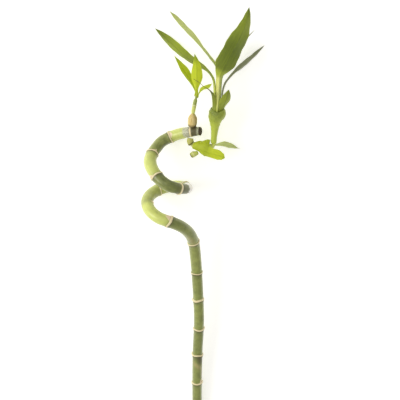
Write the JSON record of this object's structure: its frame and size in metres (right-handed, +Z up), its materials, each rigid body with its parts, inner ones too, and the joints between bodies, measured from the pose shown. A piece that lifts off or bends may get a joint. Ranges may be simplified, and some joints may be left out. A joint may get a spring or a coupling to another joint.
{
  "type": "lucky bamboo",
  "caption": "Cut stalk of lucky bamboo with a spiral top, two side shoots and long pointed leaves, lying on its side.",
  "frame": {"origin": "on the surface that the plant lies on, under the middle of its box", "axes": "+Y along the stem from the cut end to the leaves, +Z up from the surface, +X to the right when the leaves point away"},
  "size_m": [0.141, 0.5232, 0.0623],
  "materials": {
    "cane_skin": "satin",
    "dried_seal": "matte",
    "papery_scale": "matte",
    "shoot_stem": "satin",
    "young_leaf": "satin",
    "pale_leaf": "satin",
    "leaf_sheath": "satin",
    "grown_leaf": "satin"
  },
  "bodies": {
    "root": {"cane": "cane_skin", "end_seal": "dried_seal", "upper_bud_scale": "papery_scale", "upper_stem": "shoot_stem", "upper_leaf_left": "young_leaf", "upper_leaf_front": "young_leaf", "upper_leaf_right": "young_leaf", "lower_collar": "papery_scale", "lower_stem": "shoot_stem", "lower_stub": "shoot_stem", "foot_leaf": "young_leaf", "foot_side_leaf": "pale_leaf", "cup_sheath": "leaf_sheath", "crown_small_leaf": "grown_leaf", "crown_whisker_leaf": "grown_leaf", "crown_long_leaf": "grown_leaf", "crown_thin_leaf": "grown_leaf", "crown_broad_leaf": "grown_leaf", "crown_right_leaf": "grown_leaf", "crown_back_leaf": "grown_leaf"}
  },
  "joints": []
}
